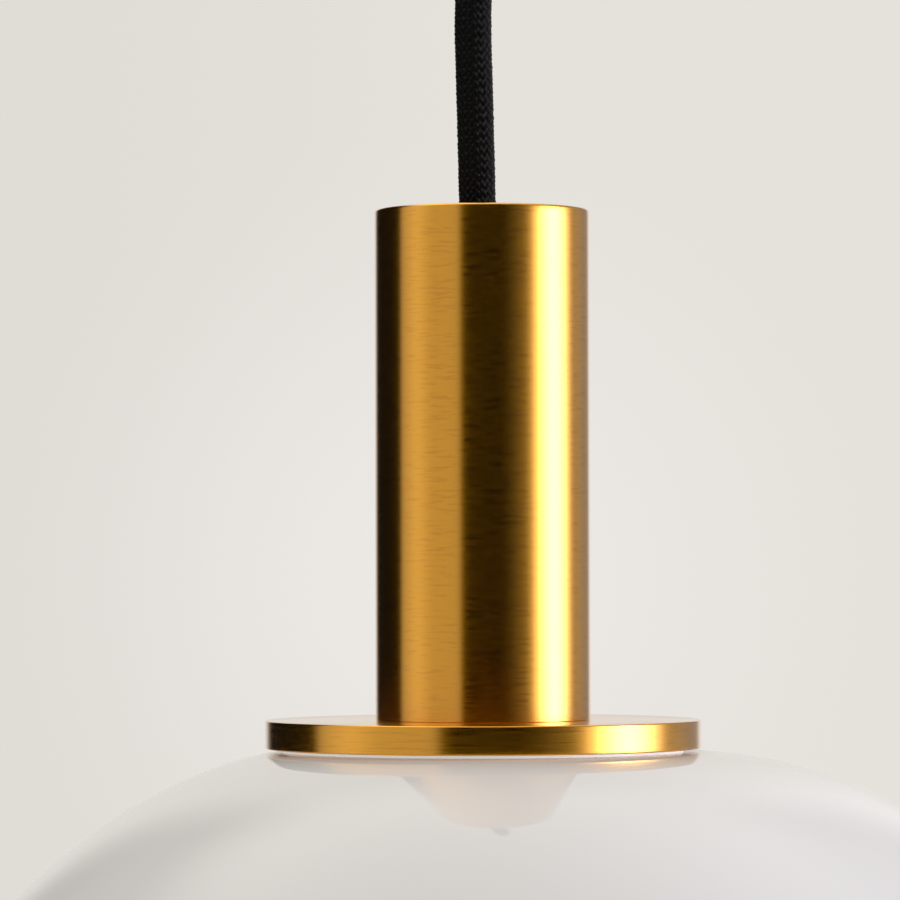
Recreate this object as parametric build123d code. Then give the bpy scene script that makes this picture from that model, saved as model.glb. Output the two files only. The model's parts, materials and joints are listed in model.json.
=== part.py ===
from build123d import *
import os
from math import cos, hypot, pi, radians, sin

# Pendant ceiling light: a brass ceiling canopy, a fabric cord, a brass sleeve over the
# lampholder, a brass disc and an asymmetric blown opal glass shade.
# Millimetres. The origin is on the ceiling plane, midway between the two bracket screws.
# +Z is up, so the whole lamp hangs below zero. +X is the side the shade bulges towards.

# ---- driving dimensions: ceiling end ----
BRACKET_LENGTH = 113.0
BRACKET_WIDTH = 20.0
BRACKET_THICKNESS = 1.6
BRACKET_EAR_WIDTH = 16.0
BRACKET_EAR_DEPTH = 14.0
CEILING_SCREW_SPACING = 88.9
CEILING_SCREW_HOLE_R = 2.3
WIRE_WAY_R = 7.5
GROUND_SCREW_X = -26.0

CANOPY_R = 60.0
CANOPY_HEIGHT = 24.0
CANOPY_WALL = 1.2
CANOPY_EDGE_R = 3.0
CANOPY_SCREW_Z = -8.0
CANOPY_SCREW_HEAD_R = 4.0
CANOPY_SCREW_HEAD_LENGTH = 4.0

SCREW_R = 2.0
THREAD_GAP = 0.05
HOLE_GAP = 0.15

GRIP_STUD_R = 5.0
GRIP_STUD_TOP = -17.0
GRIP_BODY_R = 9.0
GRIP_BODY_HEIGHT = 9.0
GRIP_COLLAR_R = 7.0
GRIP_COLLAR_HEIGHT = 5.0
GRIP_BORE_R = 4.1
GRIP_MOUTH_Z = -44.0
GRIP_MOUTH_R = 4.6
GRIP_LIP = 3.0

CONNECTOR_LENGTH = 16.0
CONNECTOR_R = 5.0
CONNECTOR_X = 20.0
CONNECTOR_Y = -24.0
CONNECTOR_Z = -11.5

# ---- driving dimensions: cord ----
CORD_R = 3.7
LEAD_R = 0.9
LEAD_CIRCLE_R = 1.6
UPPER_JACKET_END_Z = -14.0
LOWER_JACKET_END_Z = -156.0

# ---- driving dimensions: sleeve, disc and lampholder ----
SLEEVE_TOP_Z = -110.0
SLEEVE_R = 21.0
SLEEVE_HEIGHT = 99.5
SLEEVE_WALL = 1.0
SLEEVE_PLATE = 2.0
SLEEVE_EDGE_R = 0.5
BUSH_R = 8.0
BUSH_FLANGE_R = 10.5
BUSH_BORE_R = 4.7
BUSH_RECESS = 0.4

DISC_R = 42.5
DISC_THICKNESS = 5.5
DISC_EDGE = 0.25
DISC_HOLE_R = 18.3

HOLDER_NECK_R = 8.0
HOLDER_NECK_TOP_Z = -140.0
HOLDER_NECK_BOTTOM_Z = -150.0
HOLDER_CAP_R = 19.0
HOLDER_CAP_SHOULDER_Z = -160.0
HOLDER_CAP_END_Z = -172.0
HOLDER_CAP_WALL = 2.0
HOLDER_SPIGOT_Z = -166.0
HOLDER_SHOULDER_R = 19.6
HOLDER_SHOULDER_HEIGHT = 4.0
HOLDER_SKIRT_R = 18.0
HOLDER_SKIRT_END_Z = -240.0
HOLDER_BORE_R = 14.2
HOLDER_MOUTH_R = 16.2
HOLDER_MOUTH_Z = -226.0
CORE_TOP_Z = -178.0
CORE_BOTTOM_Z = -194.0
SHELL_R = 13.05
SHELL_WALL = 0.6
SHELL_END_Z = -226.0
TERMINAL_CIRCLE_R = 9.0
TERMINAL_SIZE = 5.0
CONTACT_R = 3.0
CONTACT_STEM_R = 1.5

# ---- driving dimensions: shade and what clamps it ----
GASKET_THICKNESS = 0.6
GASKET_INNER_R = 23.5
GASKET_OUTER_R = 39.0
LOWER_GASKET_THICKNESS = 1.5
LOWER_GASKET_OUTER_R = 29.0
NUT_OUTER_R = 21.8
NUT_HEIGHT = 3.0
RING_FLANGE_R = 30.0
RING_FLANGE_HEIGHT = 2.0
RING_HUB_R = 22.0
RING_HUB_HEIGHT = 6.0
RING_NOTCHES = 18

GLASS_WALL = 3.0
GLASS_HOLE_R = 22.6
GLASS_DEPTH_RATIO = 0.965
GLASS_SECTIONS = 14
# Outline of the shade from its flat top to its open foot. Each point is the half width,
# how far the middle of that level stands to the +X side, and the depth below the flat top.
GLASS_OUTLINE = [
    (41.0, 1.0, 0.0),
    (50.0, 3.4, 1.2),
    (60.0, 5.2, 4.0),
    (75.5, 6.0, 11.3),
    (97.8, 6.0, 29.1),
    (121.0, 4.6, 61.0),
    (135.0, 1.2, 102.0),
    (131.5, -3.2, 146.0),
    (111.0, -5.6, 184.0),
    (85.0, -5.0, 206.0),
    (60.0, -3.6, 218.0),
]

# ---- driving dimensions: bulb ----
BULB_TIP_Z = -196.2
BULB_CAP_TOP_Z = -200.0
BULB_CAP_END_Z = -223.0
BULB_CAP_R = 13.0
BULB_CAP_WALL = 0.4
BULB_GLASS_WALL = 0.8
BULB_FOOT_Z = -308.0
FILAMENTS = 4
FILAMENT_R = 0.9
FILAMENT_CIRCLE_R = 9.0
FILAMENT_TOP_Z = -244.0
FILAMENT_END_Z = -282.0
WIRE_R = 0.5

# ---- places worked out from them ----
CANOPY_FLOOR_Z = CANOPY_WALL - CANOPY_HEIGHT
EAR_X = BRACKET_LENGTH / 2
GRIP_TOP_Z = -CANOPY_HEIGHT
GRIP_COLLAR_Z = GRIP_TOP_Z - GRIP_BODY_HEIGHT
GRIP_COLLAR_END_Z = GRIP_COLLAR_Z - GRIP_COLLAR_HEIGHT
GRIP_LIP_Z = GRIP_MOUTH_Z + GRIP_LIP
DISC_TOP_Z = SLEEVE_TOP_Z - SLEEVE_HEIGHT
DISC_BOTTOM_Z = DISC_TOP_Z - DISC_THICKNESS
GLASS_TOP_Z = DISC_BOTTOM_Z - GASKET_THICKNESS
GLASS_INNER_TOP_Z = GLASS_TOP_Z - GLASS_WALL
RING_TOP_Z = GLASS_INNER_TOP_Z - LOWER_GASKET_THICKNESS
THREAD_R = HOLDER_SKIRT_R + THREAD_GAP
TERMINAL_TOP_Z = HOLDER_SPIGOT_Z + TERMINAL_SIZE
TERMINAL_ANGLES = [180, 0, 270]


def upright(radius, top, bottom, x=0.0, y=0.0):
    """A solid round bar between two heights."""
    return Pos(x, y, (top + bottom) / 2) * Cylinder(radius, top - bottom)


def tube(outer, inner, top, bottom):
    """A plain ring or tube on the lamp's axis."""
    return upright(outer, top, bottom) - upright(inner, top + 1, bottom - 1)


def turned(*outline):
    """A turned piece on the lamp's axis, from its outline as (radius, height) corners."""
    corners = [(radius, 0, height) for radius, height in outline]
    return revolve(make_face(Polyline(*corners, close=True)), Axis.Z)


def across(radius, start, end, y=0.0, z=0.0):
    """A round bar along X between two places."""
    return Pos((start + end) / 2, y, z) * Rot(0, 90, 0) * Cylinder(radius, abs(end - start))


def hexagon(flats, top, bottom):
    """A hexagonal bar on the lamp's axis, by its width across flats."""
    sketch = RegularPolygon(radius=flats / 2 / cos(pi / 6), side_count=6)
    return Pos(0, 0, bottom) * extrude(sketch, top - bottom)


def lead(bend, *route):
    """An insulated conductor along a route of straight runs with rounded corners."""
    path = FilletPolyline(*route, radius=bend)
    return sweep(Plane(origin=path @ 0, z_dir=path % 0) * Circle(LEAD_R), path=path)


# ---- ceiling end ----
def mounting_bracket():
    """Steel strap with an ear bent down at each end for the canopy's side screws."""
    strap = Pos(0, 0, -BRACKET_THICKNESS / 2) * Box(BRACKET_LENGTH, BRACKET_WIDTH, BRACKET_THICKNESS)
    strap = fillet(strap.edges().filter_by(Axis.Z), 4)
    for side in (-1, 1):
        ear = Box(BRACKET_THICKNESS, BRACKET_EAR_WIDTH, BRACKET_EAR_DEPTH)
        middle = side * (EAR_X - BRACKET_THICKNESS / 2)
        strap += Pos(middle, 0, -BRACKET_EAR_DEPTH / 2) * ear
        strap -= across(SCREW_R + THREAD_GAP, middle - 3, middle + 3, z=CANOPY_SCREW_Z)
        strap -= upright(CEILING_SCREW_HOLE_R, 1, -3, x=side * CEILING_SCREW_SPACING / 2)
    strap -= upright(WIRE_WAY_R, 1, -3)
    strap -= upright(SCREW_R + THREAD_GAP, 1, -3, x=GROUND_SCREW_X)
    return strap


def ground_screw():
    """Screw that clamps the earth terminal under the strap."""
    head_top = -BRACKET_THICKNESS - 0.8
    head = upright(3.6, head_top, head_top - 2.4, x=GROUND_SCREW_X)
    slot = Pos(GROUND_SCREW_X, 0, head_top - 2.4) * Box(8, 0.9, 1.6)
    return head + upright(SCREW_R, 0, head_top, x=GROUND_SCREW_X) - slot


def earth_terminal():
    """Crimped ring terminal on the end of the earth lead."""
    top = -BRACKET_THICKNESS
    ring = upright(4.2, top, top - 0.8, x=GROUND_SCREW_X)
    tongue = Pos(GROUND_SCREW_X + 6, 0, top - 0.4) * Box(6, 3, 0.8)
    barrel = across(1.6, GROUND_SCREW_X + 8, GROUND_SCREW_X + 14, z=top - 2.1)
    barrel -= across(LEAD_R + 0.1, GROUND_SCREW_X + 8.8, GROUND_SCREW_X + 15, z=top - 2.1)
    return ring + tongue + barrel - upright(SCREW_R + HOLE_GAP, 1, top - 2, x=GROUND_SCREW_X)


def canopy():
    """Spun brass cup that covers the ceiling box, open against the ceiling."""
    cup = upright(CANOPY_R, 0, -CANOPY_HEIGHT)
    cup = fillet(cup.edges().sort_by(Axis.Z)[0], CANOPY_EDGE_R)
    hollow = upright(CANOPY_R - CANOPY_WALL, 1, CANOPY_FLOOR_Z)
    hollow = fillet(hollow.edges().sort_by(Axis.Z)[0], CANOPY_EDGE_R - CANOPY_WALL)
    cup -= hollow
    cup -= upright(GRIP_STUD_R + HOLE_GAP, 0, -CANOPY_HEIGHT - 1)
    cup -= across(SCREW_R + HOLE_GAP, -CANOPY_R - 1, CANOPY_R + 1, z=CANOPY_SCREW_Z)
    return cup


def canopy_screws():
    """Two knurled side screws that hold the canopy to the bracket ears."""
    screws = []
    for side in (-1, 1):
        inner = side * (EAR_X - BRACKET_THICKNESS - 1.5)
        seat = side * (CANOPY_R + 0.15)
        outer = side * (CANOPY_R + 0.15 + CANOPY_SCREW_HEAD_LENGTH)
        head = across(CANOPY_SCREW_HEAD_R, seat, outer, z=CANOPY_SCREW_Z)
        head = chamfer(head.edges().filter_by(GeomType.CIRCLE), 0.4)
        for turn in range(0, 360, 20):
            y = CANOPY_SCREW_HEAD_R * cos(radians(turn))
            z = CANOPY_SCREW_Z + CANOPY_SCREW_HEAD_R * sin(radians(turn))
            head -= across(0.35, seat - 1, outer + 1, y=y, z=z)
        screws.append(head + across(SCREW_R, inner, seat, z=CANOPY_SCREW_Z))
    return Compound(screws)


def cord_grip_body():
    """Brass body of the cord grip: a hollow stud, a round body and a threaded collar."""
    return turned(
        (GRIP_BORE_R, GRIP_STUD_TOP),
        (GRIP_STUD_R, GRIP_STUD_TOP),
        (GRIP_STUD_R, GRIP_TOP_Z),
        (GRIP_BODY_R, GRIP_TOP_Z),
        (GRIP_BODY_R, GRIP_COLLAR_Z),
        (GRIP_COLLAR_R, GRIP_COLLAR_Z),
        (GRIP_COLLAR_R, GRIP_COLLAR_END_Z),
        (GRIP_BORE_R + 1.6, GRIP_COLLAR_END_Z),
        (GRIP_BORE_R, GRIP_COLLAR_END_Z + 1.6),
    )


def cord_grip_washer():
    """Washer between the canopy floor and the lock nut."""
    return tube(8.5, GRIP_STUD_R + HOLE_GAP, CANOPY_FLOOR_Z + 0.6, CANOPY_FLOOR_Z)


def cord_grip_nut():
    """Lock nut on the stud, inside the canopy."""
    seat = CANOPY_FLOOR_Z + 0.6
    return hexagon(14, seat + 3, seat) - upright(GRIP_STUD_R + THREAD_GAP, seat + 4, seat - 1)


def cord_grip_collet():
    """Nylon collet that the cap squeezes onto the cord."""
    taper_z = GRIP_COLLAR_END_Z - 0.1
    return turned(
        (CORD_R + THREAD_GAP, taper_z),
        (GRIP_BORE_R + 1.4, taper_z),
        (GRIP_BORE_R + 1.4, GRIP_LIP_Z + 0.9),
        (GRIP_BORE_R + 0.7, GRIP_LIP_Z + 0.1),
        (CORD_R + THREAD_GAP, GRIP_LIP_Z + 0.1),
    )


def cord_grip_cap():
    """Turned brass cap of the cord grip, with a rounded mouth for the cord."""
    bore = GRIP_COLLAR_R + THREAD_GAP
    top = GRIP_COLLAR_Z - 0.3
    cap = tube(GRIP_BODY_R, bore, top, GRIP_LIP_Z) + tube(GRIP_BODY_R, GRIP_MOUTH_R, GRIP_LIP_Z, GRIP_MOUTH_Z)
    rims = cap.edges().filter_by(GeomType.CIRCLE).group_by(Axis.Z)[0]
    return fillet(rims, 1.0)


def cord_upper_end():
    """The end of the cord held in the grip, up to where its jacket is stripped."""
    return upright(CORD_R, UPPER_JACKET_END_Z, GRIP_MOUTH_Z)


def upper_power_lead(side):
    """Live or neutral conductor from the stripped cord to its twist connector."""
    start = side * LEAD_CIRCLE_R
    return lead(
        2.5,
        (start, 0.6, UPPER_JACKET_END_Z),
        (start, 0.6, -8.0),
        (side * CONNECTOR_X, -10.0, CONNECTOR_Z),
        (side * CONNECTOR_X, CONNECTOR_Y - 6, CONNECTOR_Z),
    )


def lead_earth_upper():
    """Earth conductor from the stripped cord to the terminal on the bracket."""
    height = -BRACKET_THICKNESS - 2.1
    return lead(
        2.2,
        (0, -LEAD_CIRCLE_R, UPPER_JACKET_END_Z),
        (0, -LEAD_CIRCLE_R, -8.5),
        (GROUND_SCREW_X + 20, 0, height),
        (GROUND_SCREW_X + 10, 0, height),
    )


def wire_connectors():
    """Two twist-on connectors that join the lamp's conductors to the supply."""
    mouth = CONNECTOR_Y
    closed = CONNECTOR_Y - CONNECTOR_LENGTH
    corners = [
        (3.2, mouth),
        (CONNECTOR_R, mouth),
        (CONNECTOR_R, mouth - 6),
        (3.4, closed),
        (0, closed),
        (0, closed + 2),
        (3.2, mouth - 9),
    ]
    outline = make_face(Polyline(*corners, close=True))
    cap = revolve(outline, Axis.Y)
    return Compound([Pos(side * CONNECTOR_X, 0, CONNECTOR_Z) * cap for side in (-1, 1)])


# ---- cord ----
def cord():
    """The free cord, pulled straight by the lamp's weight."""
    return upright(CORD_R, GRIP_MOUTH_Z, SLEEVE_TOP_Z)


# ---- sleeve, disc and lampholder ----
def sleeve_bush():
    """Black bush in the sleeve's top, with a rounded mouth for the cord."""
    plate_under = SLEEVE_TOP_Z - SLEEVE_PLATE - THREAD_GAP
    bush = upright(BUSH_R - THREAD_GAP, SLEEVE_TOP_Z - BUSH_RECESS, plate_under)
    bush += upright(BUSH_FLANGE_R, plate_under, plate_under - 2)
    bush -= upright(BUSH_BORE_R, SLEEVE_TOP_Z, plate_under - 3)
    return fillet(bush.edges().filter_by(GeomType.CIRCLE).sort_by(Axis.Z)[-2], 1.0)


def sleeve():
    """Brass sleeve over the lampholder, closed at the top but for the bush hole."""
    body = upright(SLEEVE_R, SLEEVE_TOP_Z, DISC_TOP_Z)
    body = fillet(body.edges().sort_by(Axis.Z)[-1], SLEEVE_EDGE_R)
    body -= upright(SLEEVE_R - SLEEVE_WALL, SLEEVE_TOP_Z - SLEEVE_PLATE, DISC_TOP_Z - 1)
    return body - upright(BUSH_R, SLEEVE_TOP_Z + 1, SLEEVE_TOP_Z - SLEEVE_PLATE - 1)


def cord_lower_end():
    """The end of the cord inside the sleeve, down to where its jacket is stripped."""
    return upright(CORD_R, SLEEVE_TOP_Z, LOWER_JACKET_END_Z)


def holder_cap():
    """Metal cap of the lampholder: a neck that grips the cord, and a dome."""
    bore = CORD_R + THREAD_GAP
    inner = HOLDER_CAP_R - HOLDER_CAP_WALL
    cap = turned(
        (bore, HOLDER_NECK_TOP_Z),
        (HOLDER_NECK_R, HOLDER_NECK_TOP_Z),
        (HOLDER_NECK_R, HOLDER_NECK_BOTTOM_Z),
        (HOLDER_CAP_R - 3, HOLDER_CAP_SHOULDER_Z + 5),
        (HOLDER_CAP_R, HOLDER_CAP_SHOULDER_Z),
        (HOLDER_CAP_R, HOLDER_CAP_END_Z),
        (inner, HOLDER_CAP_END_Z),
        (inner, HOLDER_CAP_SHOULDER_Z),
        (inner - 2.5, HOLDER_CAP_SHOULDER_Z + 3.5),
        (HOLDER_NECK_R - 1, HOLDER_NECK_BOTTOM_Z - 2),
        (bore, HOLDER_NECK_BOTTOM_Z - 2),
    )
    return cap - across(1.5 + THREAD_GAP, 2, HOLDER_NECK_R + 1, z=-145)


def holder_grip_screw():
    """Grub screw in the neck that bears on the cord."""
    screw = across(1.5, CORD_R + 0.05, HOLDER_NECK_R + 1.2, z=-145)
    return screw - Pos(HOLDER_NECK_R + 1.2, 0, -145) * Box(1.6, 0.6, 4)


def holder_body():
    """Moulded lampholder body, whose threaded skirt passes through the disc and the shade."""
    spigot = HOLDER_CAP_R - HOLDER_CAP_WALL - THREAD_GAP
    body = turned(
        (0, HOLDER_SPIGOT_Z),
        (spigot, HOLDER_SPIGOT_Z),
        (spigot, HOLDER_CAP_END_Z),
        (HOLDER_CAP_R, HOLDER_CAP_END_Z),
        (HOLDER_CAP_R, DISC_TOP_Z + HOLDER_SHOULDER_HEIGHT),
        (HOLDER_SHOULDER_R, DISC_TOP_Z + HOLDER_SHOULDER_HEIGHT),
        (HOLDER_SHOULDER_R, DISC_TOP_Z),
        (HOLDER_SKIRT_R, DISC_TOP_Z),
        (HOLDER_SKIRT_R, HOLDER_SKIRT_END_Z),
        (HOLDER_MOUTH_R, HOLDER_SKIRT_END_Z),
        (HOLDER_MOUTH_R, HOLDER_MOUTH_Z),
        (HOLDER_BORE_R, HOLDER_MOUTH_Z),
        (HOLDER_BORE_R, CORE_TOP_Z),
        (0, CORE_TOP_Z),
    )
    return body - upright(CONTACT_STEM_R + THREAD_GAP, HOLDER_SPIGOT_Z + 1, CORE_TOP_Z - 1)


def holder_core():
    """Ceramic core that carries the screw shell and the centre contact."""
    core = tube(HOLDER_BORE_R - THREAD_GAP, CONTACT_STEM_R + THREAD_GAP, CORE_TOP_Z, CORE_BOTTOM_Z)
    return core - tube(SHELL_R + SHELL_WALL + THREAD_GAP, SHELL_R, CORE_BOTTOM_Z + 2, CORE_BOTTOM_Z - 1)


def screw_shell():
    """Brass shell that the bulb's cap screws into."""
    return tube(SHELL_R + SHELL_WALL, SHELL_R, CORE_BOTTOM_Z + 2, SHELL_END_Z)


def centre_contact():
    """Sprung centre contact and its stem through the core."""
    pad_bottom = BULB_TIP_Z + 0.1
    pad = upright(CONTACT_R, CORE_BOTTOM_Z, pad_bottom)
    return pad + upright(CONTACT_STEM_R, HOLDER_SPIGOT_Z, CORE_BOTTOM_Z)


def terminal_place(angle):
    """The middle of a terminal block, at its angle about the axis."""
    x = TERMINAL_CIRCLE_R * cos(radians(angle))
    y = TERMINAL_CIRCLE_R * sin(radians(angle))
    return Pos(x, y, HOLDER_SPIGOT_Z + TERMINAL_SIZE / 2) * Rot(0, 0, angle)


def terminal_posts():
    """Three brass terminal blocks: live, neutral and earth."""
    block = Box(TERMINAL_SIZE, TERMINAL_SIZE, TERMINAL_SIZE)
    block -= Pos(0, 0, 1.5) * Cylinder(LEAD_R + 0.15, TERMINAL_SIZE)
    block -= Pos(TERMINAL_SIZE / 2, 0, 0.5) * Rot(0, 90, 0) * Cylinder(0.9, TERMINAL_SIZE - 2)
    return Compound([terminal_place(angle) * block for angle in TERMINAL_ANGLES])


def terminal_screws():
    """Three small screws that clamp the conductors in their blocks."""
    shank = Pos(TERMINAL_SIZE / 2, 0, 0.5) * Rot(0, 90, 0) * Cylinder(0.85, 2.8)
    head = Pos(TERMINAL_SIZE / 2 + 1, 0, 0.5) * Rot(0, 90, 0) * Cylinder(1.6, 1.2)
    screw = shank + head - Pos(TERMINAL_SIZE / 2 + 1.6, 0, 0.5) * Box(0.9, 0.5, 4)
    return Compound([terminal_place(angle) * screw for angle in TERMINAL_ANGLES])


def lower_lead(angle):
    """Conductor from the stripped cord down into its terminal block."""
    x = cos(radians(angle))
    y = sin(radians(angle))
    near = LEAD_CIRCLE_R
    far = TERMINAL_CIRCLE_R
    return lead(
        1.3,
        (near * x, near * y, LOWER_JACKET_END_Z),
        (near * x, near * y, LOWER_JACKET_END_Z - 1.6),
        (far * x, far * y, TERMINAL_TOP_Z + 2.4),
        (far * x, far * y, TERMINAL_TOP_Z - 2.2),
    )


def disc():
    """Turned brass disc that the sleeve stands on and the shade is clamped against."""
    plate = tube(DISC_R, DISC_HOLE_R, DISC_TOP_Z, DISC_BOTTOM_Z)
    outer = plate.edges().filter_by(GeomType.CIRCLE).sort_by(SortBy.RADIUS)[-2:]
    return chamfer(outer, DISC_EDGE)


def disc_nut():
    """Thin ring nut that clamps the disc up to the lampholder's shoulder."""
    nut = tube(NUT_OUTER_R, THREAD_R, DISC_BOTTOM_Z, DISC_BOTTOM_Z - NUT_HEIGHT)
    for turn in range(0, 360, 90):
        slot = Pos(NUT_OUTER_R, 0, DISC_BOTTOM_Z - NUT_HEIGHT) * Box(3, 3, 2.4)
        nut -= Rot(0, 0, turn) * slot
    return nut


# ---- shade ----
def outline_point(outline, share, inset):
    """Half width, middle and height of the shade's skin at a share of its outline, moved
    inwards at right angles by inset."""
    place = outline @ share
    along = outline % share
    run = hypot(along.X, along.Z)
    half_width = place.X + inset * along.Z / run
    height = place.Z - inset * along.X / run
    return half_width, place.Y, height


def skin_section(half_width, middle, height):
    """The oval that the shade's skin makes at one level."""
    oval = Ellipse(half_width, half_width * GLASS_DEPTH_RATIO)
    return Pos(middle, 0, GLASS_TOP_Z + height) * oval


def shade_skin(outline, inset):
    """The solid inside the shade's skin, lofted through its ovals."""
    places = [outline_point(outline, step / GLASS_SECTIONS, inset) for step in range(GLASS_SECTIONS + 1)]
    return loft([skin_section(*place) for place in places])


def glass_shade():
    """Blown opal glass: an oval, lopsided shell with a flat top, open at its foot."""
    points = [(width, middle, -depth) for width, middle, depth in GLASS_OUTLINE]
    outline = Spline(*points)
    half_width, middle, height = outline_point(outline, 1, GLASS_WALL)
    foot = outline @ 1
    mouth = extrude(skin_section(half_width, middle, height), height - foot.Z + 1, dir=(0, 0, -1))
    body = shade_skin(outline, 0) - shade_skin(outline, GLASS_WALL) - mouth
    return body - upright(GLASS_HOLE_R, GLASS_TOP_Z + 1, GLASS_INNER_TOP_Z - 1)


def upper_gasket():
    """Thin clear washer between the disc and the glass."""
    return tube(GASKET_OUTER_R, GASKET_INNER_R, DISC_BOTTOM_Z, GLASS_TOP_Z)


def lower_gasket():
    """Rubber washer between the glass and the shade ring."""
    return tube(LOWER_GASKET_OUTER_R, GASKET_INNER_R, GLASS_INNER_TOP_Z, RING_TOP_Z)


def shade_ring():
    """Notched ring that screws up the lampholder's skirt and clamps the shade."""
    flange_bottom = RING_TOP_Z - RING_FLANGE_HEIGHT
    ring = tube(RING_FLANGE_R, THREAD_R, RING_TOP_Z, flange_bottom)
    ring += tube(RING_HUB_R, THREAD_R, flange_bottom, flange_bottom - RING_HUB_HEIGHT)
    for notch in range(RING_NOTCHES):
        groove = upright(1.2, flange_bottom, flange_bottom - RING_HUB_HEIGHT - 1, x=RING_HUB_R + 0.5)
        ring -= Rot(0, 0, notch * 360 / RING_NOTCHES) * groove
    return ring


# ---- bulb ----
def bulb_contact():
    """Solder tip on the bulb's cap."""
    return turned((0, BULB_TIP_Z), (3, BULB_TIP_Z), (4.2, BULB_TIP_Z - 0.8), (0, BULB_TIP_Z - 0.8))


def bulb_insulator():
    """Black glass insulator between the tip and the cap."""
    top = BULB_TIP_Z - 0.8
    return turned((0, top), (5, top), (9.5, BULB_CAP_TOP_Z), (9.5, BULB_CAP_TOP_Z - 1), (0, BULB_CAP_TOP_Z - 1))


def bulb_cap():
    """Screw cap of the bulb."""
    inner = BULB_CAP_R - BULB_CAP_WALL
    return turned(
        (9.5, BULB_CAP_TOP_Z),
        (BULB_CAP_R, BULB_CAP_TOP_Z - 3),
        (BULB_CAP_R, BULB_CAP_END_Z),
        (inner, BULB_CAP_END_Z),
        (inner, BULB_CAP_TOP_Z - 3.4),
        (9.5, BULB_CAP_TOP_Z - 0.6),
    )


def bulb_outline(inset):
    """The envelope's outline from its neck, inside the cap, to its rounded foot."""
    neck = BULB_CAP_R - BULB_CAP_WALL - 0.1 - inset
    top = (neck, 0, BULB_CAP_END_Z + 4)
    under_cap = (neck, 0, BULB_CAP_END_Z)
    side = Spline(
        under_cap,
        (15.0 - inset, 0, BULB_CAP_END_Z - 17),
        (30.0 - inset, 0, BULB_CAP_END_Z - 52),
        (0, 0, BULB_FOOT_Z + inset),
        tangents=[(0, 0, -1), (-1, 0, 0)],
    )
    return Line(top, under_cap), side


def bulb_solid(inset):
    """The solid inside the envelope's skin, moved inwards by inset."""
    neck, side = bulb_outline(inset)
    top = neck @ 0
    cap_line = Line((0, 0, top.Z), top)
    axis_line = Line(side @ 1, (0, 0, top.Z))
    return revolve(make_face([cap_line, neck, side, axis_line]), Axis.Z)


def bulb_envelope():
    """Glass envelope of the bulb, open at its neck where the stem is sealed in."""
    return bulb_solid(0) - bulb_solid(BULB_GLASS_WALL)


def bulb_stem():
    """Glass stem that carries the filaments."""
    top = BULB_CAP_END_Z + 4
    flare = BULB_CAP_R - BULB_CAP_WALL - 0.1 - BULB_GLASS_WALL
    return turned(
        (0, top),
        (flare, top),
        (flare, top - 1.2),
        (3.2, top - 6),
        (2.2, top - 30),
        (0, top - 32),
    )


def around(piece):
    """One copy of a piece for each filament, evenly about the axis."""
    return [Rot(0, 0, 45 + index * 360 / FILAMENTS) * piece for index in range(FILAMENTS)]


def bulb_filaments():
    """Four upright filament strips."""
    return Compound(around(upright(FILAMENT_R, FILAMENT_TOP_Z, FILAMENT_END_Z, x=FILAMENT_CIRCLE_R)))


def filament_wires():
    """Fine wires that hold the filaments: four arms from the stem, and a star below."""
    reach = FILAMENT_CIRCLE_R + 0.5
    upper = around(across(WIRE_R, 2.9, reach, z=FILAMENT_TOP_Z + WIRE_R))
    star = upright(1.2, FILAMENT_END_Z, FILAMENT_END_Z - 2 * WIRE_R)
    for arm in around(across(WIRE_R, 0, reach, z=FILAMENT_END_Z - WIRE_R)):
        star += arm
    return Compound([*upper, star])


PARTS = {
    "mounting_bracket": mounting_bracket(),
    "ground_screw": ground_screw(),
    "earth_terminal": earth_terminal(),
    "canopy": canopy(),
    "canopy_screws": canopy_screws(),
    "cord_grip_body": cord_grip_body(),
    "cord_grip_washer": cord_grip_washer(),
    "cord_grip_nut": cord_grip_nut(),
    "cord_grip_collet": cord_grip_collet(),
    "cord_grip_cap": cord_grip_cap(),
    "cord_upper_end": cord_upper_end(),
    "lead_live_upper": upper_power_lead(-1),
    "lead_neutral_upper": upper_power_lead(1),
    "lead_earth_upper": lead_earth_upper(),
    "wire_connectors": wire_connectors(),
    "cord": cord(),
    "sleeve_bush": sleeve_bush(),
    "sleeve": sleeve(),
    "cord_lower_end": cord_lower_end(),
    "lead_live_lower": lower_lead(TERMINAL_ANGLES[0]),
    "lead_neutral_lower": lower_lead(TERMINAL_ANGLES[1]),
    "lead_earth_lower": lower_lead(TERMINAL_ANGLES[2]),
    "holder_cap": holder_cap(),
    "holder_grip_screw": holder_grip_screw(),
    "holder_body": holder_body(),
    "holder_core": holder_core(),
    "screw_shell": screw_shell(),
    "centre_contact": centre_contact(),
    "terminal_posts": terminal_posts(),
    "terminal_screws": terminal_screws(),
    "disc": disc(),
    "disc_nut": disc_nut(),
    "glass_shade": glass_shade(),
    "upper_gasket": upper_gasket(),
    "lower_gasket": lower_gasket(),
    "shade_ring": shade_ring(),
    "bulb_contact": bulb_contact(),
    "bulb_insulator": bulb_insulator(),
    "bulb_cap": bulb_cap(),
    "bulb_envelope": bulb_envelope(),
    "bulb_stem": bulb_stem(),
    "bulb_filaments": bulb_filaments(),
    "filament_wires": filament_wires(),
}

os.makedirs("parts", exist_ok=True)
for name, shape in PARTS.items():
    export_step(shape, f"parts/{name}.step")
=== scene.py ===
import json
import math

import bpy
import numpy as np
from mathutils import Matrix, Vector

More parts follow.
